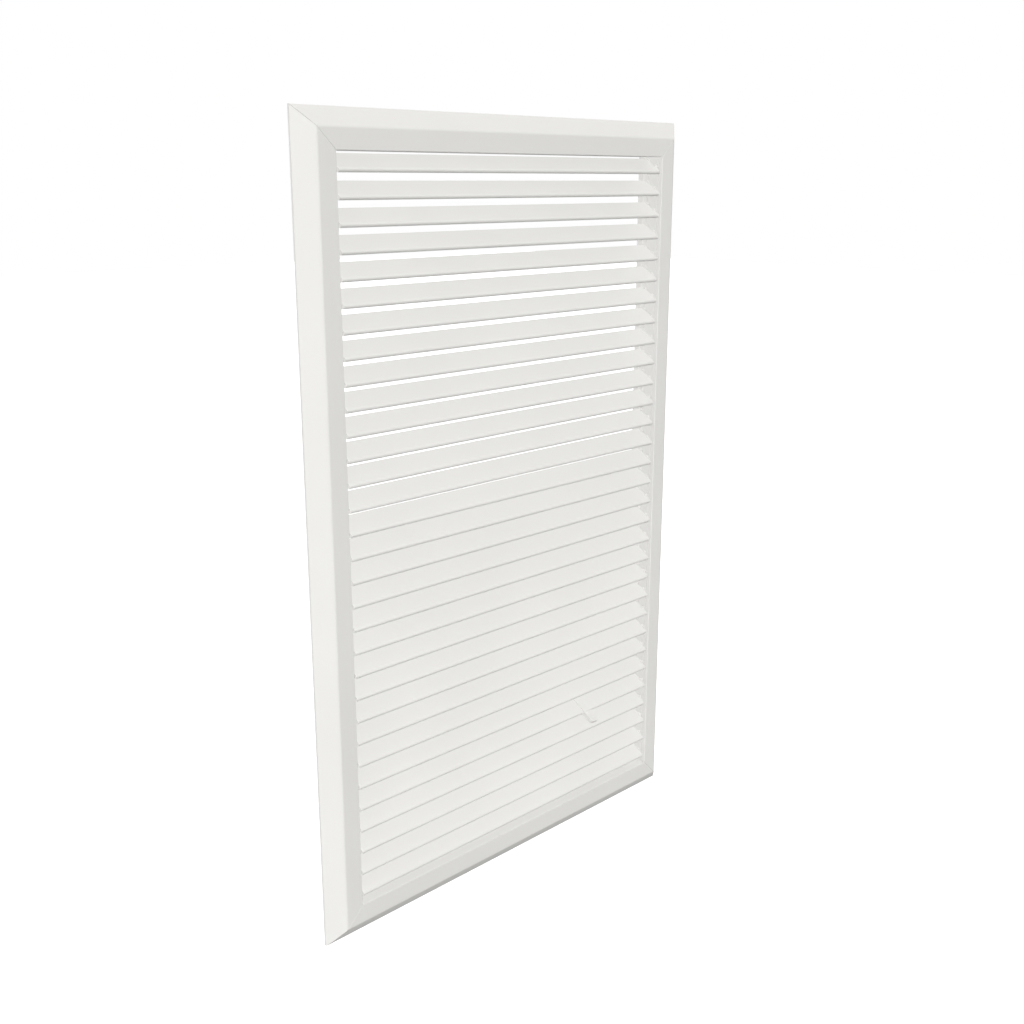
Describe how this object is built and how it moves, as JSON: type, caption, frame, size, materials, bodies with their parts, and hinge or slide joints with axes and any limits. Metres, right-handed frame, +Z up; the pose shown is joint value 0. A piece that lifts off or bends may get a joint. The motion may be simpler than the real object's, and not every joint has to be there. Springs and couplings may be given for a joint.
{
  "type": "louvred air grille",
  "caption": "Rectangular wall grille with a bevelled mitred frame and linked horizontal blades that turn together by a small finger lever low on the right.",
  "frame": {"origin": "middle of the outer frame, in the plane of the wall it stands on", "axes": "+X to the viewer's right along the blades, +Y into the wall, +Z up; the face looks along -Y"},
  "size_m": [0.46, 0.0375, 0.71],
  "materials": {
    "frame": "satin",
    "plate": "satin",
    "blade": "satin",
    "link": "satin",
    "lever": "satin",
    "cleat": "satin"
  },
  "bodies": {
    "frame": {"frame_left": "frame", "frame_right": "frame", "frame_top": "frame", "frame_bottom": "frame", "cleat_bottom_left": "cleat", "cleat_top_left": "cleat", "cleat_top_right": "cleat", "cleat_bottom_right": "cleat", "bearing_plate_left": "plate", "bearing_plate_right": "plate"},
    "blade_01": {"blade_01": "blade"},
    "blade_02": {"blade_02": "blade"},
    "blade_03": {"blade_03": "blade"},
    "blade_04": {"blade_04": "blade"},
    "blade_05": {"blade_05": "blade"},
    "blade_06": {"blade_06": "blade"},
    "blade_07": {"blade_07": "blade"},
    "blade_08": {"blade_08": "blade"},
    "blade_09": {"blade_09": "blade"},
    "blade_10": {"blade_10": "blade"},
    "blade_11": {"blade_11": "blade"},
    "blade_12": {"blade_12": "blade"},
    "blade_13": {"blade_13": "blade"},
    "blade_14": {"blade_14": "blade"},
    "blade_15": {"blade_15": "blade"},
    "blade_16": {"blade_16": "blade"},
    "blade_17": {"blade_17": "blade"},
    "blade_18": {"blade_18": "blade"},
    "blade_19": {"blade_19": "blade"},
    "blade_20": {"blade_20": "blade"},
    "blade_21": {"blade_21": "blade"},
    "blade_22": {"blade_22": "blade"},
    "blade_23": {"blade_23": "blade"},
    "blade_24": {"blade_24": "blade"},
    "blade_25": {"blade_25": "blade"},
    "blade_26": {"blade_26": "blade"},
    "lever_blade": {"blade_27": "blade", "finger_lever": "lever"},
    "blade_28": {"blade_28": "blade"},
    "blade_29": {"blade_29": "blade"},
    "blade_30": {"blade_30": "blade"},
    "blade_31": {"blade_31": "blade"},
    "link_bar": {"link_bar": "link"}
  },
  "joints": [
    {"name": "blade_01_pivot", "type": "hinge", "parent": "frame", "child": "blade_01", "pos_m": [0, -0.0072, 0.3124], "axis": [1, 0, 0], "range_deg": [-107, 6]},
    {"name": "blade_02_pivot", "type": "hinge", "parent": "frame", "child": "blade_02", "pos_m": [0, -0.0072, 0.2917], "axis": [1, 0, 0], "range_deg": [-107, 6]},
    {"name": "blade_03_pivot", "type": "hinge", "parent": "frame", "child": "blade_03", "pos_m": [0, -0.0072, 0.271], "axis": [1, 0, 0], "range_deg": [-107, 6]},
    {"name": "blade_04_pivot", "type": "hinge", "parent": "frame", "child": "blade_04", "pos_m": [0, -0.0072, 0.2503], "axis": [1, 0, 0], "range_deg": [-107, 6]},
    {"name": "blade_05_pivot", "type": "hinge", "parent": "frame", "child": "blade_05", "pos_m": [0, -0.0072, 0.2296], "axis": [1, 0, 0], "range_deg": [-107, 6]},
    {"name": "blade_06_pivot", "type": "hinge", "parent": "frame", "child": "blade_06", "pos_m": [0, -0.0072, 0.2089], "axis": [1, 0, 0], "range_deg": [-107, 6]},
    {"name": "blade_07_pivot", "type": "hinge", "parent": "frame", "child": "blade_07", "pos_m": [0, -0.0072, 0.1882], "axis": [1, 0, 0], "range_deg": [-107, 6]},
    {"name": "blade_08_pivot", "type": "hinge", "parent": "frame", "child": "blade_08", "pos_m": [0, -0.0072, 0.1675], "axis": [1, 0, 0], "range_deg": [-107, 6]},
    {"name": "blade_09_pivot", "type": "hinge", "parent": "frame", "child": "blade_09", "pos_m": [0, -0.0072, 0.1468], "axis": [1, 0, 0], "range_deg": [-107, 6]},
    {"name": "blade_10_pivot", "type": "hinge", "parent": "frame", "child": "blade_10", "pos_m": [0, -0.0072, 0.1261], "axis": [1, 0, 0], "range_deg": [-107, 6]},
    {"name": "blade_11_pivot", "type": "hinge", "parent": "frame", "child": "blade_11", "pos_m": [0, -0.0072, 0.1054], "axis": [1, 0, 0], "range_deg": [-107, 6]},
    {"name": "blade_12_pivot", "type": "hinge", "parent": "frame", "child": "blade_12", "pos_m": [0, -0.0072, 0.0847], "axis": [1, 0, 0], "range_deg": [-107, 6]},
    {"name": "blade_13_pivot", "type": "hinge", "parent": "frame", "child": "blade_13", "pos_m": [0, -0.0072, 0.064], "axis": [1, 0, 0], "range_deg": [-107, 6]},
    {"name": "blade_14_pivot", "type": "hinge", "parent": "frame", "child": "blade_14", "pos_m": [0, -0.0072, 0.0433], "axis": [1, 0, 0], "range_deg": [-107, 6]},
    {"name": "blade_15_pivot", "type": "hinge", "parent": "frame", "child": "blade_15", "pos_m": [0, -0.0072, 0.0226], "axis": [1, 0, 0], "range_deg": [-107, 6]},
    {"name": "blade_16_pivot", "type": "hinge", "parent": "frame", "child": "blade_16", "pos_m": [0, -0.0072, 0.0019], "axis": [1, 0, 0], "range_deg": [-107, 6]},
    {"name": "blade_17_pivot", "type": "hinge", "parent": "frame", "child": "blade_17", "pos_m": [0, -0.0072, -0.0188], "axis": [1, 0, 0], "range_deg": [-107, 6]},
    {"name": "blade_18_pivot", "type": "hinge", "parent": "frame", "child": "blade_18", "pos_m": [0, -0.0072, -0.0395], "axis": [1, 0, 0], "range_deg": [-107, 6]},
    {"name": "blade_19_pivot", "type": "hinge", "parent": "frame", "child": "blade_19", "pos_m": [0, -0.0072, -0.0602], "axis": [1, 0, 0], "range_deg": [-107, 6]},
    {"name": "blade_20_pivot", "type": "hinge", "parent": "frame", "child": "blade_20", "pos_m": [0, -0.0072, -0.0809], "axis": [1, 0, 0], "range_deg": [-107, 6]},
    {"name": "blade_21_pivot", "type": "hinge", "parent": "frame", "child": "blade_21", "pos_m": [0, -0.0072, -0.1016], "axis": [1, 0, 0], "range_deg": [-107, 6]},
    {"name": "blade_22_pivot", "type": "hinge", "parent": "frame", "child": "blade_22", "pos_m": [0, -0.0072, -0.1223], "axis": [1, 0, 0], "range_deg": [-107, 6]},
    {"name": "blade_23_pivot", "type": "hinge", "parent": "frame", "child": "blade_23", "pos_m": [0, -0.0072, -0.143], "axis": [1, 0, 0], "range_deg": [-107, 6]},
    {"name": "blade_24_pivot", "type": "hinge", "parent": "frame", "child": "blade_24", "pos_m": [0, -0.0072, -0.1637], "axis": [1, 0, 0], "range_deg": [-107, 6]},
    {"name": "blade_25_pivot", "type": "hinge", "parent": "frame", "child": "blade_25", "pos_m": [0, -0.0072, -0.1844], "axis": [1, 0, 0], "range_deg": [-107, 6]},
    {"name": "blade_26_pivot", "type": "hinge", "parent": "frame", "child": "blade_26", "pos_m": [0, -0.0072, -0.2051], "axis": [1, 0, 0], "range_deg": [-107, 6]},
    {"name": "blade_27_pivot", "type": "hinge", "parent": "frame", "child": "lever_blade", "pos_m": [0, -0.0072, -0.2258], "axis": [1, 0, 0], "range_deg": [-107, 6]},
    {"name": "blade_28_pivot", "type": "hinge", "parent": "frame", "child": "blade_28", "pos_m": [0, -0.0072, -0.2465], "axis": [1, 0, 0], "range_deg": [-107, 6]},
    {"name": "blade_29_pivot", "type": "hinge", "parent": "frame", "child": "blade_29", "pos_m": [0, -0.0072, -0.2672], "axis": [1, 0, 0], "range_deg": [-107, 6]},
    {"name": "blade_30_pivot", "type": "hinge", "parent": "frame", "child": "blade_30", "pos_m": [0, -0.0072, -0.2879], "axis": [1, 0, 0], "range_deg": [-107, 6]},
    {"name": "blade_31_pivot", "type": "hinge", "parent": "frame", "child": "blade_31", "pos_m": [0, -0.0072, -0.3086], "axis": [1, 0, 0], "range_deg": [-107, 6]},
    {"name": "link_bar_pivot", "type": "hinge", "parent": "lever_blade", "child": "link_bar", "pos_m": [0.1955, 0.00124, -0.21955], "axis": [1, 0, 0], "range_deg": [-6, 107]}
  ],
  "couplings": [
    {"joint": "blade_01_pivot", "follows": "blade_27_pivot", "ratio": 1},
    {"joint": "blade_02_pivot", "follows": "blade_27_pivot", "ratio": 1},
    {"joint": "blade_03_pivot", "follows": "blade_27_pivot", "ratio": 1},
    {"joint": "blade_04_pivot", "follows": "blade_27_pivot", "ratio": 1},
    {"joint": "blade_05_pivot", "follows": "blade_27_pivot", "ratio": 1},
    {"joint": "blade_06_pivot", "follows": "blade_27_pivot", "ratio": 1},
    {"joint": "blade_07_pivot", "follows": "blade_27_pivot", "ratio": 1},
    {"joint": "blade_08_pivot", "follows": "blade_27_pivot", "ratio": 1},
    {"joint": "blade_09_pivot", "follows": "blade_27_pivot", "ratio": 1},
    {"joint": "blade_10_pivot", "follows": "blade_27_pivot", "ratio": 1},
    {"joint": "blade_11_pivot", "follows": "blade_27_pivot", "ratio": 1},
    {"joint": "blade_12_pivot", "follows": "blade_27_pivot", "ratio": 1},
    {"joint": "blade_13_pivot", "follows": "blade_27_pivot", "ratio": 1},
    {"joint": "blade_14_pivot", "follows": "blade_27_pivot", "ratio": 1},
    {"joint": "blade_15_pivot", "follows": "blade_27_pivot", "ratio": 1},
    {"joint": "blade_16_pivot", "follows": "blade_27_pivot", "ratio": 1},
    {"joint": "blade_17_pivot", "follows": "blade_27_pivot", "ratio": 1},
    {"joint": "blade_18_pivot", "follows": "blade_27_pivot", "ratio": 1},
    {"joint": "blade_19_pivot", "follows": "blade_27_pivot", "ratio": 1},
    {"joint": "blade_20_pivot", "follows": "blade_27_pivot", "ratio": 1},
    {"joint": "blade_21_pivot", "follows": "blade_27_pivot", "ratio": 1},
    {"joint": "blade_22_pivot", "follows": "blade_27_pivot", "ratio": 1},
    {"joint": "blade_23_pivot", "follows": "blade_27_pivot", "ratio": 1},
    {"joint": "blade_24_pivot", "follows": "blade_27_pivot", "ratio": 1},
    {"joint": "blade_25_pivot", "follows": "blade_27_pivot", "ratio": 1},
    {"joint": "blade_26_pivot", "follows": "blade_27_pivot", "ratio": 1},
    {"joint": "blade_28_pivot", "follows": "blade_27_pivot", "ratio": 1},
    {"joint": "blade_29_pivot", "follows": "blade_27_pivot", "ratio": 1},
    {"joint": "blade_30_pivot", "follows": "blade_27_pivot", "ratio": 1},
    {"joint": "blade_31_pivot", "follows": "blade_27_pivot", "ratio": 1},
    {"joint": "link_bar_pivot", "follows": "blade_27_pivot", "ratio": -1}
  ]
}
